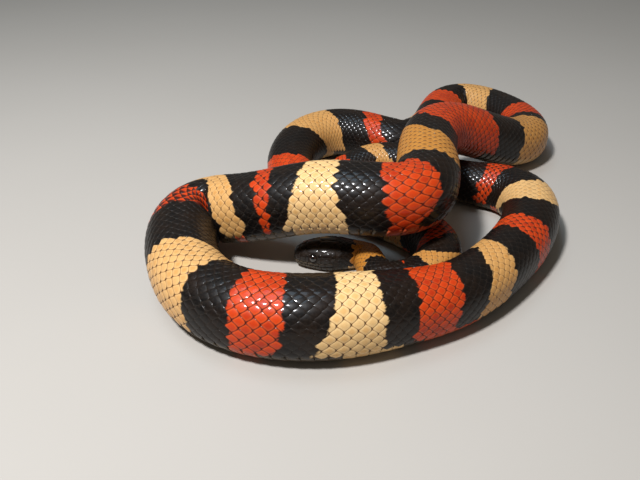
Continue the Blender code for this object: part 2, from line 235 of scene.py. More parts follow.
def head_surface(line):
    """Points and outward normals of the head, ring by ring, with the place of the lip line."""
    direction = (line[0, :3] - line[1, :3]) * [1, 1, 0]
    direction /= np.linalg.norm(direction)
    side = np.cross([0, 0, 1.0], direction)
    nape = line[0, :3] * [1, 1, 0] + direction * NAPE_GAP
    distances = np.append(np.arange(0, HEAD_LENGTH, HEAD_RING_STEP), HEAD_LENGTH)
    places, lips = [], []
    for d in distances:
        rough = head_half_section(d)
        a = np.vstack([rough[1] * [-1, 1], rough, rough[-2] * [-1, 1]])
        half = []
        for p, q, r, s in zip(a[:-3], a[1:-2], a[2:-1], a[3:]):
            for t in np.arange(OUTLINE_STEPS) / OUTLINE_STEPS:
                half.append(0.5 * (2 * q + (r - p) * t + (2 * p - 5 * q + 4 * r - s) * t**2
                                   + (3 * q - p - 3 * r + s) * t**3))
        half = np.array(half + [rough[-1]])
        share = lengths_along(half)
        share /= share[-1]
        lips.append(share[LIP_POINT * OUTLINE_STEPS])
        out = np.sign(AROUND) * np.interp(abs(AROUND), share, half[:, 0])
        rise = np.interp(abs(AROUND), share, half[:, 1])
        places.append(nape + direction * d + np.outer(out, side) + np.outer(rise, [0, 0, 1.0]))
    places = np.array(places)
    around = np.gradient(places, axis=1)
    around[:, 0] = around[:, -1] = places[:, 1] - places[:, -2]
    normals = unit(np.cross(around, np.gradient(places, axis=0)))
    outward = places - places.mean(axis=1, keepdims=True)
    normals *= np.sign(np.einsum("ijk,ijk->ij", normals, outward))[..., None]
    return distances, places, normals, np.array(lips), (nape, direction, side)


LINE = middle_line()
body_at, body_points, body_normals = body_surface(LINE)
head_at, head_points, head_normals, LIPS, HEAD_AXES = head_surface(LINE)
ALONG = np.concatenate([-(head_at[::-1] + NAPE_GAP), body_at])
POINTS = np.concatenate([head_points[::-1], body_points])
NORMALS = np.concatenate([head_normals[::-1], body_normals])
# The last rings of the head and the first of the neck run into each other
BLEND_FROM, BLEND_TO = -3.5, 4.5
BLEND_PASSES = 60
near_nape = np.flatnonzero((ALONG > BLEND_FROM) & (ALONG < BLEND_TO))
for _ in range(BLEND_PASSES):
    for rows in (POINTS, NORMALS):
        rows[near_nape] = rows[near_nape] / 2 + (rows[near_nape - 1] + rows[near_nape + 1]) / 4
NORMALS = unit(NORMALS)


def on_surface(along, around, lift):
    """Places on the animal's surface, raised by lift, for arrays of along and around."""
    i = np.clip(np.searchsorted(ALONG, along) - 1, 0, len(ALONG) - 2)
    a = np.clip((along - ALONG[i]) / (ALONG[i + 1] - ALONG[i]), 0, 1)[..., None]
    c = ((around + 1) % 2) / 2 * (COLUMNS - 1)
    j = np.minimum(c.astype(int), COLUMNS - 2)
    b = (c - j)[..., None]

    def between(rows):
        return ((rows[i, j] * (1 - a) + rows[i + 1, j] * a) * (1 - b)
                + (rows[i, j + 1] * (1 - a) + rows[i + 1, j + 1] * a) * b)

    return between(POINTS) + unit(between(NORMALS)) * lift[..., None]


# Each ring of colour begins at a place along the body that is given three times: half way down the
# left flank, on the back, and half way down the right flank. The last number says how deep a yellow
# a pale ring has, and how far black has spread over the scale tips of a red one; on the red ring at
# about 672 mm it is raised further, as painted shade. A ring that would begin after the next one is
# pinched out
RINGS = (
    ("black", -40, -40, -40, 0), ("pale", -0.3, -0.2, -0.4, 0.95), ("black", 12.5, 12.8, 15.8, 0),
    ("red", 21.7, 24.7, 23.7, 0.15), ("black", 26.7, 24.7, 25.7, 0), ("pale", 31, 31, 30.5, 0.8),
    ("black", 32, 36, 45, 0), ("red", 36.5, 44, 51.5, 0.5), ("black", 42.5, 51, 57.5, 0),
    ("pale", 60, 60, 60, 0.7), ("black", 70.3, 70.3, 70.3, 0), ("red", 78.8, 78.8, 78.8, 0.15),
    ("black", 87.2, 87.2, 87.2, 0), ("pale", 94.7, 94.7, 94.7, 0.7),
    ("black", 102.1, 102.1, 102.1, 0), ("red", 109.6, 109.6, 109.6, 0.15),
    ("black", 129.9, 123.2, 117, 0), ("pale", 150.9, 148.2, 154.9, 0.65),
    ("black", 166.6, 169, 175.3, 0), ("red", 182.8, 184.4, 194.7, 0.15),
    ("black", 188.4, 192.5, 199.1, 0), ("pale", 210.7, 210.7, 210.7, 0.6),
    ("black", 224.2, 224.2, 224.2, 0), ("red", 237.7, 237.7, 237.7, 0.15),
    ("black", 252.5, 252.5, 252.5, 0), ("pale", 262.5, 264, 272.1, 0.6),
    ("black", 278.8, 280.2, 291.9, 0), ("red", 299, 300, 302, 0.15), ("black", 312, 313, 314, 0),
    ("pale", 316, 319.5, 323, 0.8), ("black", 339, 337.7, 337.5, 0),
    ("red", 354.2, 358.9, 358.7, 0.15), ("black", 394.5, 394, 382, 0),
    ("pale", 415.1, 406, 392.7, 0.9), ("black", 421.5, 424.5, 422, 0),
    ("red", 438.6, 433.2, 434.6, 0.15), ("black", 446.8, 448.4, 448.4, 0),
    ("pale", 457.8, 461.5, 458.7, 0.1), ("black", 476.4, 471.1, 475.4, 0),
    ("red", 482.5, 481.4, 490, 0.3), ("black", 485.4, 487.2, 493.5, 0),
    ("pale", 491.6, 499.5, 522.5, 0.55), ("black", 500.9, 507.9, 517.9, 0),
    ("red", 506, 512.5, 515, 0.55), ("black", 519, 521.5, 530, 0), ("pale", 560, 543.5, 542, 0.45),
    ("black", 564.9, 560.4, 562.7, 0), ("red", 575.1, 573.6, 574.2, 0.15),
    ("black", 582, 586.2, 585.6, 0), ("pale", 599.5, 599.7, 594.7, 0.05),
    ("black", 615.6, 611.1, 610.5, 0), ("red", 621.3, 621.2, 619.4, 0.15),
    ("black", 640.3, 635.9, 632, 0), ("pale", 659.7, 649.4, 641, 0.65),
    # The red ring at 672.4 has black spread further over its scale tips than the other red rings
    # (0.35 against 0.15): the extra black is painted shade on the flank of the right loop
    ("black", 661.9, 658.8, 653.4, 0), ("red", 672.4, 671, 669.8, 0.35),
    ("black", 676.8, 680.4, 678.9, 0), ("pale", 704.8, 692.9, 704.5, 0.35),
    ("black", 714, 707.3, 712.4, 0), ("red", 724.6, 720.5, 717.8, 0.4),
    ("black", 730.9, 728.2, 725, 0), ("pale", 741.2, 741.2, 741.2, 0.5),
    ("black", 747.3, 747.3, 747.3, 0), ("red", 753.3, 753.3, 753.3, 0.15),
    ("black", 760.3, 760.3, 760.3, 0), ("pale", 763.9, 774.3, 777.9, 0.7),
    ("black", 776.3, 780.7, 783.6, 0), ("red", 789.7, 789.7, 789.7, 0.15),
    ("black", 795.7, 795.7, 795.7, 0), ("pale", 800.7, 800.7, 800.7, 0.6),
    ("black", 805.2, 805.2, 805.2, 0), ("red", 810.7, 810.7, 810.7, 0.15),
    ("black", 815.7, 815.7, 815.7, 0), ("pale", 820.2, 820.2, 820.2, 0.6),
    ("black", 824.2, 824.2, 824.2, 0), ("red", 829.7, 829.7, 829.7, 0.15),
    ("black", 833.7, 833.7, 833.7, 0),
)


# Half way down a flank, and the place below it from which a ring runs straight down
HALF_WAY_DOWN = 0.5
SLANT_END = 0.62


def markings(along, around):
    """Shares of red and of pale, and the ring's last number, at places on the body."""
    flank = np.clip(around, -SLANT_END, SLANT_END) / HALF_WAY_DOWN
    red, pale, depth = (np.zeros(np.shape(along)) for _ in range(3))
    for colour, left, mid, right, deep in RINGS:
        begin = mid + (right - left) / 2 * flank + ((left + right) / 2 - mid) * flank**2
        inside = along >= begin
        red[inside] = colour == "red"
        pale[inside] = colour == "pale"
        depth[inside] = deep
    return red, pale, depth


def give_values(mesh, values):
    for name, numbers in values.items():
        layer = mesh.attributes.new(name, "FLOAT", "POINT")
        layer.data.foreach_set("value", np.ascontiguousarray(numbers, dtype=np.float32).ravel())


def make_piece(name, vertices, faces, loop_uv, values):
    """A finished object from arrays, with its place on the unwrapped skin as a UV map."""
    mesh = bpy.data.meshes.new(name)
    faces = np.asarray(faces)
    count, corners = faces.shape
    mesh.vertices.add(len(vertices))
    mesh.vertices.foreach_set("co", np.ascontiguousarray(vertices, dtype=np.float32).ravel())
    mesh.loops.add(count * corners)
    mesh.loops.foreach_set("vertex_index", faces.astype(np.int32).ravel())
    mesh.polygons.add(count)
    mesh.polygons.foreach_set("loop_start", np.arange(count, dtype=np.int32) * corners)
    mesh.update(calc_edges=True)
    mesh.validate()
    mesh.polygons.foreach_set("use_smooth", np.full(len(mesh.polygons), True))
    mesh.uv_layers.new(name="OFBake").data.foreach_set(
        "uv", np.ascontiguousarray(loop_uv, dtype=np.float32).ravel())
    give_values(mesh, values)
    piece = bpy.data.objects.new(name, mesh)
    bpy.context.scene.collection.objects.link(piece)
    return piece


# Finish of skin and scales: keratin over black, pale and red pigment, each as a colour and the
# colours of its rim, middle and tip
BLACK = (0.0026, 0.0022, 0.0022, 1)
BLACK_RIM = (0.015, 0.0105, 0.0075, 1)
BROWN_PATCH = (0.0105, 0.0046, 0.0020, 1)
CREAM = (0.78, 0.53, 0.245, 1)
CREAM_MIDDLE = (0.68, 0.38, 0.125, 1)
YELLOW = (0.46, 0.18, 0.018, 1)
YELLOW_MIDDLE = (0.37, 0.12, 0.009, 1)
PALE_RIM = (0.20, 0.08, 0.022, 1)
PALE_TIP = (0.050, 0.018, 0.006, 1)
SCARLET = (0.54, 0.043, 0.004, 1)
DEEP_SCARLET = (0.40, 0.025, 0.003, 1)
SCARLET_BORDER = (0.64, 0.10, 0.014, 1)
SCARLET_RIM = (0.085, 0.007, 0.004, 1)
SCARLET_TIP = (0.018, 0.004, 0.003, 1)
WORN_HORN = (0.27, 0.195, 0.11, 1)
GRAIN_TINT = (0.07, 0.04, 0.022, 1)
GRAIN_SCALE = 1500.0
PATCH_SCALE = 110.0
RIM_DULLING = 0.10
COAT_ROUGHNESS = 0.10
SPECULAR_LEVEL = 0.15
RELIEF_DEPTH = 0.00006


def attribute(tree, name):
    node = tree.nodes.new("ShaderNodeAttribute")
    node.attribute_name = name
    return node.outputs["Fac"]


def feed(tree, socket, value):
    """Links a socket to another, or sets it to a plain value."""
    if isinstance(value, bpy.types.NodeSocket):
        tree.links.new(value, socket)
    else:
        socket.default_value = value


def mixed(tree, share, first, second):
    node = tree.nodes.new("ShaderNodeMix")
    node.data_type = "RGBA"
    for name, value in (("Factor", share), ("A", first), ("B", second)):
        feed(tree, node.inputs[name], value)
    return next(o for o in node.outputs if o.type == "RGBA")


def maths(tree, operation, first, second):
    node = tree.nodes.new("ShaderNodeMath")
    node.operation = operation
    for socket, value in zip(node.inputs, (first, second)):
        feed(tree, socket, value)
    return node.outputs[0]


def spread(tree, value, low, high, to_low=0.0, to_high=1.0):
    """A soft step from to_low to to_high as the value goes from low to high."""
    node = tree.nodes.new("ShaderNodeMapRange")
    node.interpolation_type = "SMOOTHSTEP"
    tree.links.new(value, node.inputs["Value"])
    for name, number in (("From Min", low), ("From Max", high), ("To Min", to_low),
                         ("To Max", to_high)):
        node.inputs[name].default_value = number
    return node.outputs["Result"]


def noise(tree, scale, detail=3.0):
    where = tree.nodes.new("ShaderNodeTexCoord")
    node = tree.nodes.new("ShaderNodeTexNoise")
    tree.links.new(where.outputs["Object"], node.inputs["Vector"])
    node.inputs["Scale"].default_value = scale
    node.inputs["Detail"].default_value = detail
    node.inputs["Roughness"].default_value = 0.55
    return node.outputs["Fac"]


def pigment_group():
    """Colour, roughness and fine relief of snake keratin from the values on the mesh."""
    tree = bpy.data.node_groups.new("snake_pigment", "ShaderNodeTree")
    for name, kind in (("Color", "NodeSocketColor"), ("Roughness", "NodeSocketFloat"),
                       ("Relief", "NodeSocketFloat")):
        tree.interface.new_socket(name, in_out="OUTPUT", socket_type=kind)
    red, pale, depth = (attribute(tree, n) for n in ("red", "pale", "depth"))
    tip, rim, tone, belly = (attribute(tree, n) for n in ("tip", "rim", "tone", "belly"))
    fine, broad = noise(tree, GRAIN_SCALE, 4.0), noise(tree, PATCH_SCALE)
    # Black: paler at the rim of each scale, with brown patches
    black = mixed(tree, spread(tree, rim, 0.76, 0.95), BLACK, BLACK_RIM)
    black = mixed(tree, spread(tree, broad, 0.40, 0.70, 0.0, 0.7), black, BROWN_PATCH)
    # Pale: cream to yellow by the depth of the ring. Within a thin brown rim each scale has a
    # light border round a warmer middle, and a dark crescent at its free tip
    cream = mixed(tree, depth, CREAM, YELLOW)
    warm = mixed(tree, depth, CREAM_MIDDLE, YELLOW_MIDDLE)
    middle = maths(tree, "MULTIPLY", spread(tree, rim, 0.30, 0.75, 1.0, 0.0),
                   spread(tree, tone, 0.0, 1.0, 0.2, 0.75))
    cream = mixed(tree, middle, cream, warm)
    cream = mixed(tree, spread(tree, rim, 0.78, 0.93, 0.0, 0.85), cream, PALE_RIM)
    cream = mixed(tree, spread(tree, tip, 0.35, 0.46, 0.0, 0.92), cream, PALE_TIP)
    # Red: a lighter border, a dark rim, and black that spreads forward from the tip by the depth
    # of the ring
    scarlet = mixed(tree, spread(tree, tone, 0.1, 1.0), SCARLET, DEEP_SCARLET)
    scarlet = mixed(tree, spread(tree, rim, 0.40, 0.75, 0.0, 0.35), scarlet, SCARLET_BORDER)
    scarlet = mixed(tree, spread(tree, rim, 0.72, 0.92, 0.0, 0.92), scarlet, SCARLET_RIM)
    inked = maths(tree, "ADD", tip, depth)
    scarlet = mixed(tree, spread(tree, inked, 0.50, 0.72, 0.0, 0.96), scarlet, SCARLET_TIP)
    colour = mixed(tree, red, mixed(tree, pale, black, cream), scarlet)
    # Belly plates and the edges of the lips are worn to a pale horn colour, in patches
    worn = maths(tree, "MULTIPLY", belly, spread(tree, broad, 0.3, 0.7, 0.30, 0.75))
    colour = mixed(tree, worn, colour, WORN_HORN)
    colour = mixed(tree, spread(tree, fine, 0.35, 0.75, 0.0, 0.10), colour, GRAIN_TINT)
    gloss = maths(tree, "ADD", spread(tree, fine, 0.3, 0.7, 0.36, 0.48),
                  maths(tree, "MULTIPLY", rim, RIM_DULLING))
    way_out = tree.nodes.new("NodeGroupOutput")
    tree.links.new(colour, way_out.inputs["Color"])
    tree.links.new(gloss, way_out.inputs["Roughness"])
    tree.links.new(fine, way_out.inputs["Relief"])
    return tree


PIGMENT = pigment_group()


def keratin(name, coat, bump):
    """A finish of snake keratin with its own weight of gloss coat and strength of relief."""
    made = bpy.data.materials.new(name)
    made.use_nodes = True
    tree = made.node_tree
    shader = tree.nodes["Principled BSDF"]
    group = tree.nodes.new("ShaderNodeGroup")
    group.node_tree = PIGMENT
    relief = tree.nodes.new("ShaderNodeBump")
    relief.inputs["Strength"].default_value = bump
    relief.inputs["Distance"].default_value = RELIEF_DEPTH
    tree.links.new(group.outputs["Color"], shader.inputs["Base Color"])
    tree.links.new(group.outputs["Roughness"], shader.inputs["Roughness"])
    tree.links.new(group.outputs["Relief"], relief.inputs["Height"])
    tree.links.new(relief.outputs["Normal"], shader.inputs["Normal"])
    shader.inputs["Coat Weight"].default_value = coat
    shader.inputs["Coat Roughness"].default_value = COAT_ROUGHNESS
    shader.inputs["Specular IOR Level"].default_value = SPECULAR_LEVEL
    return made


# The hide lies deepest under scales of full length, and half as deep under the smallest
SKIN_DEPTH = 0.30
FULL_SCALE_LENGTH = 3.2
# A scale's length where the body is thinnest, and what each millimetre of width adds to it
BASE_SCALE_LENGTH = 0.80
LENGTH_FOR_WIDTH = 0.104
SKIN_STEP = 1.25
HEAD_SKIN_STEP = 0.3
SKIN_COLUMNS = 84
CAP_BULGE = 0.0003
CHART_ROWS = 5


def scale_length(along):
    """Length along the body from one scale to the next in its row, longer where it is wide."""
    width = np.interp(np.clip(along, 2, None), np.arange(len(LINE)), LINE[:, 3])
    return BASE_SCALE_LENGTH + LENGTH_FOR_WIDTH * width


def depth_at(along):
    """How deep the hide lies below the form of the solids."""
    return SKIN_DEPTH * np.clip(scale_length(along) / FULL_SCALE_LENGTH, 0.5, 1.0)


def within(margin, share):
    """A share of the chart's width or height, kept clear of its edges by a margin."""
    return margin + (1 - 2 * margin) * share


def chart(along, around):
    """The unwrapped skin: five strips from snout to tail, one above the other."""
    share = (along - ALONG[0]) / (ALONG[-1] - ALONG[0] + 1e-6) * CHART_ROWS
    strip = np.floor(share[:, :1]) + 0 * share
    u = within(0.01, share - strip)
    v = (strip + within(0.04, (around + 1) / 2)) / CHART_ROWS
    return np.stack([u, v], axis=-1)


def edit_alone(piece):
    """Goes into edit mode on one piece only."""
    bpy.ops.object.select_all(action="DESELECT")
    bpy.context.view_layer.objects.active = piece
    piece.select_set(True)
    bpy.ops.object.mode_set(mode="EDIT")


def build_skin():
    on_head = np.arange(HEAD_SKIN_STEP, HEAD_LENGTH, HEAD_SKIN_STEP)[::-1]
    stations = np.concatenate([[-(HEAD_LENGTH + NAPE_GAP)], -on_head - NAPE_GAP,
                               np.arange(0, body_at[-1], SKIN_STEP), [body_at[-1]]])
    around = np.linspace(-1, 1, SKIN_COLUMNS + 1)[:-1]
    s, g = np.meshgrid(stations, around, indexing="ij")
    # Columns draw together at the lip line of the head, so that the mouth stays crisp
    share = np.clip((-s - 2) / 4, 0, 1)
    lip = np.interp(-s, head_at, LIPS)
    close = lip + (abs(g) - lip) * np.clip(abs(abs(g) - lip) * 9, 0.35, 1.0)
    g = np.sign(g) * (abs(g) * (1 - share) + close * share)
    places = on_surface(s, g, -depth_at(s)) * MM
    rings = len(stations)
    vertices = places.reshape(-1, 3)
    k = np.arange(SKIN_COLUMNS)
    i = np.arange(rings - 1)[:, None] * SKIN_COLUMNS
    m = (k + 1) % SKIN_COLUMNS
    faces = np.stack([i + k, i + m, i + m + SKIN_COLUMNS, i + k + SKIN_COLUMNS], -1).reshape(-1, 4)
    s0, s1 = s[:-1], s[1:]
    g0 = g[:-1]
    g1 = np.where(m[None, :] == 0, 1.0, np.roll(g, -1, axis=1)[:-1])
    along = np.stack([s0, s0, s1, s1], -1).reshape(-1, 4)
    across = np.stack([g0, g1, g1, g0], -1).reshape(-1, 4)
    uv = chart(along, across).reshape(-1, 2)
    red, pale, depth = markings(s.ravel(), g.ravel())
    # Between the scales the hide has the colour of their dark rims, and it is worn pale below
    zero = np.zeros(len(vertices))
    values = {"red": red, "pale": pale, "depth": depth, "tip": zero + 0.45, "rim": zero + 0.95,
              "tone": zero + 0.6, "belly": np.clip((abs(g.ravel()) - 0.68) * 8, 0, 1)}
    skin = make_piece("skin", vertices, faces, uv, values)
    # The snout and the tip of the tail are closed: rim selected, filled and poked
    edit_alone(skin)
    bpy.ops.mesh.select_all(action="DESELECT")
    bpy.ops.mesh.select_mode(type="EDGE")
    bpy.ops.mesh.select_non_manifold()
    bpy.ops.mesh.edge_face_add()
    bpy.ops.mesh.poke(offset=CAP_BULGE)
    bpy.ops.mesh.select_all(action="SELECT")
    bpy.ops.mesh.normals_make_consistent(inside=False)
    bpy.ops.object.mode_set(mode="OBJECT")
    return skin


# The solids that the hide takes the place of
FLESH = ("head", "neck", "forebody", "hidden_link", "back_coil", "far_coil", "far_bend", "climb",
         "crossing", "upper_coil", "left_bend", "front_coil_left", "front_coil_right",
         "right_loop", "tail_base", "tail")
skin = build_skin()
skin.data.materials.append(keratin("bare_skin", coat=0.15, bump=0.5))
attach(skin, "root")
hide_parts(*FLESH)


# Back and flank scales. Smooth, glossy, rounded rhombs of keratin in lengthwise rows, each lying
# over the root of the next, with its free tip towards the tail. One is modelled, and its copies are
# laid on the skin and bent to it.

# Where a number of rows begins along the body, and the share of the way round that rows cover
ROW_ZONES = ((-5.4, 21), (70, 25), (747, 21), (792, 17), (816, 13), (834, 9))
BARE_TAIL_TIP = 1
DORSAL_SHARE = 0.645
SCALE_HALF_WIDTH = 0.93
SCALE_HALF_LENGTH = 0.55
SHOULDER_DRAW = 0.855
ROOT_DRAW = 0.84
EDGE_HEIGHT = 0.15
EDGE_DRAW = 0.955
# Draw and rise of each step of the dome above the edge
DOME_STEPS = ((0.88, 0.045), (0.68, 0.055), (0.45, 0.03))
# Rise of the free end over the root of the next scale, and sink of the underside into the skin
TIP_LIFT = 0.075
UNDERSIDE_SINK = -0.02
UNEVENNESS = 0.012
RING_RAGGEDNESS = 0.3
SCALE_SEED = 7
# The coat is parted into pieces, each from one of these places along the body to the next
PIECES = ("scales_fore", "scales_back_coils", "scales_climb", "scales_upper_coil",
          "scales_front_coil", "scales_rear")
PIECE_ENDS = (-6, 150, 300, 430, 560, 680, 900)


def select_where(piece, wanted):
    """In edit mode, selects the vertices that a test on their place picks out."""
    edit = bmesh.from_edit_mesh(piece.data)
    for vert in edit.verts:
        vert.select = bool(wanted(vert.co))
    edit.select_flush_mode()
    bmesh.update_edit_mesh(piece.data)


def model_scale():
    """One scale, along +X to its free tip, in units of its row: a filled twelve-sided plate,
    drawn in to a rounded rhomb, raised on its edge, and domed by three steps and a poked middle."""
    bpy.ops.object.select_all(action="DESELECT")
    bpy.ops.mesh.primitive_circle_add(vertices=12, radius=1, fill_type="NGON", location=(0, 0, 0),
                                      rotation=(0, 0, math.radians(-90)))
    scale = bpy.context.object
    scale.name = "one_scale"
    bpy.ops.object.transform_apply(location=True, rotation=True, scale=True)
    bpy.ops.object.mode_set(mode="EDIT")
    bpy.ops.mesh.select_mode(type="VERT")
    # The four shoulders are drawn in, which makes the round plate a rounded rhomb
    select_where(scale, lambda p: abs(abs(p.x) - 0.5) < 0.01 or abs(abs(p.y) - 0.5) < 0.01)
    bpy.ops.transform.resize(value=(SHOULDER_DRAW, SHOULDER_DRAW, 1))
    # The root is narrower than the free end
    select_where(scale, lambda p: p.x < -0.3)
    bpy.ops.transform.resize(value=(1, ROOT_DRAW, 1), center_override=(0, 0, 0))
    bpy.ops.mesh.select_all(action="SELECT")
    bpy.ops.transform.resize(value=(SCALE_HALF_LENGTH, SCALE_HALF_WIDTH, 1))
    bpy.ops.mesh.select_mode(type="FACE")
    bpy.ops.mesh.select_all(action="SELECT")
    for draw, rise in ((EDGE_DRAW, EDGE_HEIGHT),) + DOME_STEPS:
        bpy.ops.mesh.extrude_region_move(TRANSFORM_OT_translate={"value": (0, 0, rise)})
        bpy.ops.transform.resize(value=(draw, draw, 1))
    bpy.ops.mesh.poke(offset=0.0)
    bpy.ops.mesh.select_mode(type="EDGE")
    bpy.ops.mesh.select_all(action="DESELECT")
    bpy.ops.mesh.select_non_manifold()
    bpy.ops.mesh.edge_face_add()
    bpy.ops.mesh.select_all(action="SELECT")
    bpy.ops.mesh.quads_convert_to_tris(quad_method="FIXED")
    bpy.ops.mesh.normals_make_consistent(inside=False)
    bpy.ops.object.mode_set(mode="OBJECT")
    return scale


def shape_of(piece):
    """Vertex places and triangles of a modelled piece, which is then taken away."""
    mesh = piece.data
    places = np.zeros(len(mesh.vertices) * 3)
    mesh.vertices.foreach_get("co", places)
    corners = np.array([tuple(p.vertices) for p in mesh.polygons])
    bpy.data.objects.remove(piece, do_unlink=True)
    return places.reshape(-1, 3), corners


# Counting along the body in scales: how many have passed at each place
COUNT_START = -6.0
COUNT_STEP = 0.5
count_at = np.arange(COUNT_START, len(LINE), COUNT_STEP)
count_of = np.append(0, np.cumsum(COUNT_STEP / scale_length(count_at[:-1])))


def along_at_count(n):
    return np.interp(n, count_of, count_at)


def scale_seats():
    """Count along, place around and row spacing of every back and flank scale."""
    seats = []
    ends = [start for start, _ in ROW_ZONES[1:]] + [body_at[-1] - BARE_TAIL_TIP]
    for (start, rows), stop in zip(ROW_ZONES, ends):
        first, last = np.interp((start, stop), count_at, count_of)
        spacing = 2 * DORSAL_SHARE / rows
        for j in range(rows):
            for n in np.arange(math.ceil(first), math.ceil(last)) + 0.5 * (j % 2):
                seats.append((n, (j - (rows - 1) / 2) * spacing, spacing))
    return np.array(seats)


def lay_scales(name, places, corners, seats):
    """Copies of one scale laid on the skin, each bent to the surface below it."""
    chance = np.random.default_rng(SCALE_SEED)
    count, points = len(seats), len(places)
    first, last = seats[:, 0].min(), seats[:, 0].max()
    x, y, z = places.T
    n = seats[:, :1] + x
    around = seats[:, 1:2] + y * seats[:, 2:3]
    along = along_at_count(n)
    middle = along_at_count(seats[:, 0])
    size = depth_at(along) / SKIN_DEPTH
    # The free end stands a little proud of the root of the next scale
    height = (z + np.where(z > 0.01, TIP_LIFT * (x + 0.1), UNDERSIDE_SINK)) * size
    uneven = chance.normal(0, UNEVENNESS, (count, 1))
    vertices = on_surface(along, around, height + uneven - depth_at(along)) * MM
    faces = corners[None] + (np.arange(count) * points)[:, None, None]
    # Each scale has mostly one colour, so that the rings have toothed edges
    ragged = chance.normal(0, RING_RAGGEDNESS, count)[:, None]
    own = middle[:, None] + ragged + 0.5 * (along - middle[:, None])
    red, pale, depth = markings(own, seats[:, 1:2] + 0.5 * (around - seats[:, 1:2]))
    # Share of the way from the middle of the scale to its outline
    out, turn = np.hypot(x, y / 2), np.arctan2(y / 2, x)
    base = np.flatnonzero(z < 0.01)
    base = base[np.argsort(turn[base])]
    reach = out / np.interp(turn, turn[base], out[base], period=2 * math.pi)
    each = np.ones(count)
    values = {
        "red": red, "pale": pale, "depth": depth,
        "tip": np.outer(each, x), "rim": np.outer(each, np.clip(reach, 0, 1)),
        "tone": np.outer(chance.random(count), np.ones(points)), "belly": np.zeros(count * points),
    }
    u = (seats[:, :1] - first + 0.5 + x * 0.66) / (last - first + 1.5)
    v = within(0.02, (seats[:, 1:2] + 1 + y * 0.46 * seats[:, 2:3]) / 2)
    uv = np.stack([u, v], -1)[:, corners].reshape(-1, 2)
    return make_piece(name, vertices.reshape(-1, 3), faces.reshape(-1, 3), uv, values)


scale_places, scale_corners = shape_of(model_scale())
scale_finish = keratin("scale_keratin", coat=0.26, bump=0.35)
seats = scale_seats()
seat_along = along_at_count(seats[:, 0])
for number, name in enumerate(PIECES):
    here = seats[(seat_along >= PIECE_ENDS[number]) & (seat_along < PIECE_ENDS[number + 1])]
    piece = lay_scales(name, scale_places, scale_corners, here)
    piece.data.materials.append(scale_finish)
    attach(piece, "root")


# Belly plates. A single row of wide, smooth plates of keratin under the body, one for each scale in
# a row, lapping towards the tail. Their ends turn up to meet the lowest row of flank scales.
FLANK_OVERLAP = 0.018
PLATE_SPAN = 1 - DORSAL_SHARE + FLANK_OVERLAP
PLATE_HALF_LENGTH = 0.6
PLATE_HEIGHT = 0.15
# Width from which the ends of a plate are drawn in, and how far
END_DRAWS = ((0.86, 0.85), (0.97, 0.75))
# Height of a plate's middle, and its slope up to the rear edge, which laps over the next plate
MIDDLE_RISE = 0.17
REAR_SLOPE = 0.12
# Where the row begins before the nape, and how far it ends before the tip of the tail
ROW_START = -4.0
ROW_END_GAP = 1.5
PLATE_RAGGEDNESS = 0.6
PLATE_CHART_ROWS = 4
PLATE_SEED = 11


def model_belly_plate():
    """One plate as a grid across the belly, its ends drawn in and its rim turned down."""
    bpy.ops.object.select_all(action="DESELECT")
    bpy.ops.mesh.primitive_grid_add(x_subdivisions=4, y_subdivisions=18, size=2,
                                    location=(0, 0, PLATE_HEIGHT))
    plate = bpy.context.object
    plate.name = "one_belly_plate"
    bpy.ops.object.transform_apply(location=True, rotation=True, scale=True)
    bpy.ops.object.mode_set(mode="EDIT")
    bpy.ops.mesh.select_mode(type="VERT")
    bpy.ops.mesh.select_all(action="SELECT")
    bpy.ops.transform.resize(value=(PLATE_HALF_LENGTH, 1, 1))
    for beyond, draw in END_DRAWS:
        select_where(plate, lambda p: abs(p.y) > beyond)
        bpy.ops.transform.resize(value=(draw, 1, 1))
    bpy.ops.mesh.select_all(action="DESELECT")
    bpy.ops.mesh.select_mode(type="EDGE")
    bpy.ops.mesh.select_non_manifold()
    bpy.ops.mesh.extrude_region_move(TRANSFORM_OT_translate={"value": (0, 0, -PLATE_HEIGHT)})
    bpy.ops.mesh.edge_face_add()
    bpy.ops.mesh.select_all(action="SELECT")
    bpy.ops.mesh.quads_convert_to_tris(quad_method="FIXED", ngon_method="BEAUTY")
    bpy.ops.mesh.normals_make_consistent(inside=False)
    bpy.ops.object.mode_set(mode="OBJECT")
    return plate


def lay_belly_plates():
    places, corners = shape_of(model_belly_plate())
    chance = np.random.default_rng(PLATE_SEED)
    x, y, z = places.T
    first, last = np.interp((ROW_START, body_at[-1] - ROW_END_GAP), count_at, count_of)
    n0 = np.arange(math.ceil(first), math.floor(last))[:, None]
    n = n0 + x
    along = along_at_count(n)
    size = depth_at(along) / SKIN_DEPTH
    height = np.where(z > 0.01, MIDDLE_RISE + REAR_SLOPE * x, UNDERSIDE_SINK) * size
    around = 1 + y * PLATE_SPAN + 0 * n
    places = on_surface(along, around, height - depth_at(along)) * MM
    places[..., 2] = np.maximum(places[..., 2], 0.0)
    count, points = n.shape
    faces = corners[None] + (np.arange(count) * points)[:, None, None]
    each = np.ones(count)
    own = along_at_count(n0[:, 0]) + chance.normal(0, PLATE_RAGGEDNESS, count)
    # Each half of a plate takes the ring of the flank above it
    red, pale, depth = markings(np.outer(own, np.ones(points)), np.outer(each, np.sign(y) * 0.6))
    values = {
        "red": red, "pale": pale, "depth": depth * 0.4,
        "tip": np.outer(each, x * 0.4), "rim": np.outer(each, abs(x) * 1.62),
        "tone": np.outer(chance.random(count), np.ones(points)),
        "belly": np.outer(each, np.clip(1.25 - abs(y), 0.2, 1.0)),
    }
    # The row is unwrapped as four strips
    u = within(0.01, (n0 - first + 0.5 + x * 0.7) / (last - first + 1)) * PLATE_CHART_ROWS
    strip = np.floor(u[:, :1]) + 0 * u
    u = within(0.02, u - strip)
    v = (strip + 0.5 + 0.46 * y) / PLATE_CHART_ROWS
    uv = np.stack([u, v], -1)[:, corners].reshape(-1, 2)
    return make_piece("belly_plates", places.reshape(-1, 3), faces.reshape(-1, 3), uv, values)


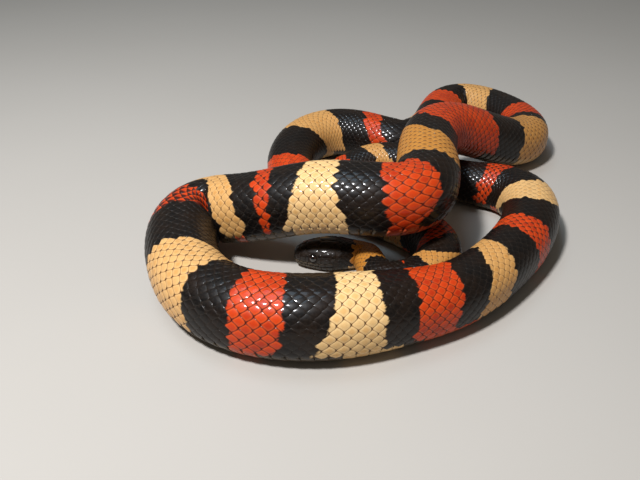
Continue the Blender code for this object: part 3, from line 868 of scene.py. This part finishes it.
belly = lay_belly_plates()
belly.data.materials.append(keratin("belly_keratin", coat=0.3, bump=0.4))
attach(belly, "root")


# Head plates. Large smooth shields of keratin in a fixed pattern cover the crown, lips and throat.
# Each is a low tile with a soft rim, grown into the skin below it.

# Corners are given as distance from the nape and as the share of the way from the crown, 0, to the
# line of the mouth, 1, and on to the middle of the throat, 2. Side plates come in pairs
CROWN_PLATES = {
    "frontal": ((15.6, 0.0), (15.3, 0.17), (14.6, 0.25), (11.6, 0.19), (10.6, 0.0),
                (11.6, -0.19), (14.6, -0.25), (15.3, -0.17)),
    "rostral": ((19.15, -0.40), (19.0, 0.0), (19.15, 0.40), (19.55, 0.72), (19.72, 0.9),
                (19.78, 0.0), (19.72, -0.9), (19.55, -0.72)),
}
SIDE_PLATES = {
    "internasal": ((19.0, 0.03), (19.1, 0.40), (18.3, 0.44), (17.75, 0.42), (17.7, 0.02)),
    "prefrontal": ((17.6, 0.02), (17.65, 0.43), (16.9, 0.50), (15.75, 0.46), (15.35, 0.20),
                   (15.75, 0.02)),
    "supraocular": ((15.35, 0.24), (15.4, 0.44), (14.5, 0.50), (12.9, 0.52), (11.5, 0.50),
                    (11.3, 0.36), (11.65, 0.22), (14.6, 0.28)),
    "parietal": ((10.45, 0.01), (11.35, 0.21), (11.2, 0.47), (9.4, 0.50), (7.2, 0.44),
                 (5.6, 0.20), (5.4, 0.02)),
    "nasal": ((19.1, 0.44), (19.35, 0.66), (18.9, 0.78), (17.5, 0.80), (17.35, 0.62),
              (17.75, 0.47), (18.3, 0.47)),
    "loreal": ((17.2, 0.62), (17.35, 0.82), (15.7, 0.82), (15.6, 0.60), (16.6, 0.54)),
    "preocular": ((15.45, 0.54), (15.55, 0.84), (14.75, 0.84), (14.55, 0.70), (14.7, 0.55)),
    "postocular_upper": ((11.35, 0.53), (11.4, 0.68), (10.3, 0.69), (10.1, 0.54)),
    "postocular_lower": ((11.35, 0.71), (11.5, 0.84), (10.4, 0.85), (10.3, 0.72)),
    "temporal_upper": ((10.0, 0.54), (10.2, 0.68), (7.6, 0.69), (6.9, 0.60), (7.2, 0.48),
                       (9.3, 0.53)),
    "temporal_lower": ((10.2, 0.71), (10.3, 0.84), (7.8, 0.85), (7.3, 0.77), (7.6, 0.71)),
    "temporal_rear": ((7.0, 0.50), (6.7, 0.64), (7.2, 0.78), (5.8, 0.80), (5.4, 0.62),
                      (5.7, 0.40)),
}
UPPER_LIP_ENDS = (19.35, 17.9, 16.5, 14.9, 13.0, 11.1, 8.9, 6.4)
LOWER_LIP_ENDS = (19.3, 18.2, 17.0, 15.6, 14.0, 12.2, 10.2, 8.2, 6.4)
LIP_GAP = 0.09
for lip, ends, upper, lower in (("upper_lip", UPPER_LIP_ENDS, 0.865, 0.975),
                                ("lower_lip", LOWER_LIP_ENDS, 1.045, 1.30)):
    for number, (front, rear) in enumerate(zip(ends[:-1], ends[1:])):
        corners = ((front - LIP_GAP, upper), (front - LIP_GAP, lower),
                   (rear + LIP_GAP, lower), (rear + LIP_GAP, upper))
        SIDE_PLATES["%s_%d" % (lip, number)] = corners
SIDE_PLATES["chin_shield_front"] = ((18.6, 1.36), (18.4, 1.95), (15.2, 1.96), (15.3, 1.36))
SIDE_PLATES["chin_shield_rear"] = ((15.0, 1.36), (14.9, 1.95), (11.6, 1.90), (11.8, 1.38))

# Share of the way out from the middle and height of each ring of a plate, and of one with a nostril
TILE = ((1.0, -0.15), (1.0, 0.06), (0.95, 0.11), (0.82, 0.135), (0.55, 0.15), (0.28, 0.155))
NOSTRIL_TILE = ((1.0, -0.15), (1.0, 0.06), (0.95, 0.11), (0.72, 0.14), (0.48, 0.14), (0.40, -0.05),
                (0.28, -0.40))
NOSTRIL_PLATE = "nasal"
TILE_SIDES = 32
TILE_RISE = 0.02
CORNER_CUTS = 2
CORNER_CUT = 0.2
HEAD_SEED = 5


def head_place(distance, share):
    """Along and around on the surface for a distance from the nape and a share of the way down."""
    lip = np.interp(distance, head_at, LIPS)
    way = np.where(abs(share) < 1, abs(share) * lip, lip + (abs(share) - 1) * (1 - lip))
    return -(distance + NAPE_GAP), np.sign(share) * way


def rounded(corners):
    """An outline with its corners cut a few times."""
    outline = np.array(corners, dtype=float)
    keep = 1 - CORNER_CUT
    for _ in range(CORNER_CUTS):
        after = np.roll(outline, -1, axis=0)
        outline = np.stack([outline * keep + after * CORNER_CUT,
                            outline * CORNER_CUT + after * keep], axis=1).reshape(-1, 2)
    return outline


def head_tile(corners, profile):
    """Places, heights and triangles of one plate, as rings drawn in to its middle."""
    sides = TILE_SIDES
    outline = rounded(corners)
    loop = np.vstack([outline, outline[:1]])
    away = lengths_along(loop * [1, 9])
    wanted = np.linspace(0, away[-1], sides, endpoint=False)
    outline = np.column_stack([np.interp(wanted, away, loop[:, k]) for k in range(2)])
    middle = outline.mean(axis=0)
    chart_places, heights, reach = [], [], []
    for share, height in profile:
        chart_places.append(middle + (outline - middle) * share)
        heights.append(np.full(sides, height))
        reach.append(np.full(sides, share))
    chart_places = np.vstack(chart_places + [middle[None]])
    heights = np.append(np.concatenate(heights), profile[-1][1])
    reach = np.append(np.concatenate(reach), 0.0)
    k = np.arange(sides)
    m = (k + 1) % sides
    faces = []
    for ring in range(len(profile) - 1):
        a, b = ring * sides, (ring + 1) * sides
        faces += [np.column_stack([a + k, a + m, b + m]), np.column_stack([a + k, b + m, b + k])]
    last = (len(profile) - 1) * sides
    faces.append(np.column_stack([last + k, last + m, np.full(sides, len(heights) - 1)]))
    faces.append(np.column_stack([np.zeros(sides - 2, int), np.arange(2, sides),
                                  np.arange(1, sides - 1)]))
    return chart_places, heights, reach, np.vstack(faces)


def build_head_plates():
    chance = np.random.default_rng(HEAD_SEED)
    vertices, faces, uv, rim, tone, throat, horn = ([] for _ in range(7))
    count = 0
    tiles = list(CROWN_PLATES.items())
    for name, corners in SIDE_PLATES.items():
        tiles.append((name, corners))
        tiles.append((name, [(d, -q) for d, q in corners]))
    for name, corners in tiles:
        pierced = name == NOSTRIL_PLATE
        places, heights, reach, triangles = head_tile(corners, NOSTRIL_TILE if pierced else TILE)
        along, around = head_place(places[:, 0], places[:, 1])
        vertices.append(on_surface(along, around, heights - depth_at(along) + TILE_RISE) * MM)
        faces.append(triangles + count)
        spot = np.column_stack([within(0.02, places[:, 0] / HEAD_LENGTH), 0.5 + 0.24 * places[:, 1]])
        uv.append(spot[triangles].reshape(-1, 2))
        pit = pierced & (heights < 0) & (reach < 0.5)
        rim.append(np.where(pit, 0.0, np.clip(reach, 0, 1)))
        tone.append(np.full(len(reach), chance.random()))
        down = abs(places[:, 1])
        throat.append(np.clip((down - 1.25) * 3, 0, 1) * 0.5)
        # The plates of the lips are horn-coloured along their edges, most of all at the snout
        on_lip = np.clip((down - 0.75) * 6, 0, 1) * (down < 1.32)
        edge = np.clip(0.15 + 0.75 * reach**4, 0, 1)
        horn.append(on_lip * edge * np.clip((places[:, 0] - 9) / 6, 0.15, 0.8))
        count += len(reach)
    vertices = np.vstack(vertices)
    zero = np.zeros(count)
    values = {"red": zero, "pale": np.concatenate(throat), "depth": zero + 0.5, "tip": zero,
              "rim": np.concatenate(rim), "tone": np.concatenate(tone),
              "belly": np.concatenate(horn)}
    return make_piece("head_plates", vertices, np.vstack(faces), np.vstack(uv), values)


plates = build_head_plates()
edit_alone(plates)
bpy.ops.mesh.select_all(action="SELECT")
bpy.ops.mesh.normals_make_consistent(inside=False)
bpy.ops.object.mode_set(mode="OBJECT")
plates.data.materials.append(keratin("head_keratin", coat=0.6, bump=0.3))
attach(plates, "root")


# Eyes. A snake has no lids: the eye lies under a clear, domed scale. The iris is a dark red-brown
# ring round a wide black pupil. Each is a glossy ball of the eye's full size with the iris on it.
EYE_HEIGHT = 5.5
EYE_RADIUS = 1.42
EYE_SINK = 0.62
EYE_SQUASH = (0.985, 0.985, 0.97)
LOOK_FORWARD = 0.18
LOOK_UP = 0.12
PUPIL = (0.004, 0.004, 0.004, 1)
DARK_IRIS = (0.008, 0.004, 0.003, 1)
RED_IRIS = (0.024, 0.007, 0.004, 1)
IRIS_GRAIN = 4200.0


def eye_finish():
    made = bpy.data.materials.new("eye_gloss")
    made.use_nodes = True
    tree = made.node_tree
    shader = tree.nodes["Principled BSDF"]
    out = attribute(tree, "from_pupil")
    grain = noise(tree, IRIS_GRAIN, 4.0)
    iris = mixed(tree, grain, DARK_IRIS, RED_IRIS)
    beyond_pupil, within_iris = spread(tree, out, 0.50, 0.56), spread(tree, out, 0.82, 0.90, 1, 0)
    ring = maths(tree, "MULTIPLY", beyond_pupil, within_iris)
    tree.links.new(mixed(tree, ring, PUPIL, iris), shader.inputs["Base Color"])
    tree.links.new(spread(tree, grain, 0.2, 0.8, 0.05, 0.10), shader.inputs["Roughness"])
    shader.inputs["Coat Weight"].default_value = 1.0
    shader.inputs["Coat Roughness"].default_value = 0.03
    shader.inputs["IOR"].default_value = 1.45
    return made


def build_eye(name, sign, node, finish):
    nape, direction, side = HEAD_AXES
    half_width = head_sizes(EYE_PLACE)[0]
    centre = nape + direction * EYE_PLACE + side * sign * (half_width - EYE_SINK)
    centre = (centre + [0, 0, EYE_HEIGHT]) * MM
    bpy.ops.object.select_all(action="DESELECT")
    bpy.ops.mesh.primitive_uv_sphere_add(segments=48, ring_count=32, radius=EYE_RADIUS * MM,
                                         location=tuple(centre))
    eye = bpy.context.object
    eye.name = name
    bpy.ops.object.mode_set(mode="EDIT")
    bpy.ops.mesh.select_all(action="SELECT")
    bpy.ops.transform.resize(value=EYE_SQUASH)
    bpy.ops.object.mode_set(mode="OBJECT")
    bpy.ops.object.transform_apply(location=True, rotation=True, scale=True)
    bpy.ops.object.shade_smooth()
    places = np.zeros(len(eye.data.vertices) * 3)
    eye.data.vertices.foreach_get("co", places)
    away = unit(places.reshape(-1, 3) - centre)
    looking = unit(side * sign + direction * LOOK_FORWARD + np.array([0, 0, LOOK_UP]))
    give_values(eye.data, {"from_pupil": np.arccos(np.clip(away @ looking, -1, 1))})
    eye.data.materials.append(finish)
    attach(eye, "root")
    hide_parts(node)


eye_material = eye_finish()
build_eye("left_eye_ball", 1, "eye_left", eye_material)
build_eye("right_eye_ball", -1, "eye_right", eye_material)


# Studio. A plain pale floor, a small lamp above at the front left that gives each scale its glint,
# a soft bluish light high at the back left, and the camera where the photograph was taken from.
# None of it belongs to the model.
SKY = (1.0, 0.94, 0.85, 1)
SKY_STRENGTH = 0.16
FLOOR_SIZE = 4
FLOOR_DROP = 0.0001
DARK_FLOOR = (0.40, 0.37, 0.33, 1)
LIGHT_FLOOR = (0.43, 0.40, 0.36, 1)
FLOOR_PATCHES = 6.0
CAMERA_PLACE = (-0.02335, -0.22857, 0.125)
CAMERA_TILT = 58
CAMERA_LENS = 36.5625


def add_light(name, size, energy, place, colour):
    """A square lamp that shines at the middle of the floor below the pile."""
    data = bpy.data.lights.new(name, "AREA")
    data.shape = "SQUARE"
    data.size = size
    data.energy = energy
    data.color = colour
    lamp = bpy.data.objects.new(name, data)
    bpy.context.scene.collection.objects.link(lamp)
    x, y, z = place
    lamp.location = place
    lamp.rotation_euler = (math.atan2(math.hypot(x, y), z), 0, math.atan2(x, -y))


add_light("key_lamp", size=0.06, energy=4.4, place=(-0.20, -0.24, 0.48), colour=(0.96, 0.97, 1.0))
add_light("overhead", size=0.40, energy=2.6, place=(-0.25, 0.16, 1.05), colour=(0.58, 0.80, 1.0))

world = bpy.data.worlds.new("studio")
bpy.context.scene.world = world
world.use_nodes = True
sky = world.node_tree.nodes["Background"]
sky.inputs["Color"].default_value = SKY
sky.inputs["Strength"].default_value = SKY_STRENGTH
bpy.context.scene.view_settings.view_transform = "Standard"

bpy.ops.object.select_all(action="DESELECT")
bpy.ops.mesh.primitive_plane_add(size=FLOOR_SIZE, location=(0, 0, -FLOOR_DROP))
floor = bpy.context.object
floor.name = "studio_floor"
floor_finish = bpy.data.materials.new("pale_floor")
floor_finish.use_nodes = True
floor_tree = floor_finish.node_tree
floor_shader = floor_tree.nodes["Principled BSDF"]
floor_colour = mixed(floor_tree, noise(floor_tree, FLOOR_PATCHES), DARK_FLOOR, LIGHT_FLOOR)
floor_tree.links.new(floor_colour, floor_shader.inputs["Base Color"])
floor_shader.inputs["Roughness"].default_value = 0.75
floor.data.materials.append(floor_finish)

camera_data = bpy.data.cameras.new("camera")
camera_data.sensor_width = 36
camera_data.lens = CAMERA_LENS
camera_data.clip_start = 0.01
camera = bpy.data.objects.new("camera", camera_data)
bpy.context.scene.collection.objects.link(camera)
camera.location = CAMERA_PLACE
camera.rotation_euler = (math.radians(CAMERA_TILT), 0, 0)
bpy.context.scene.camera = camera
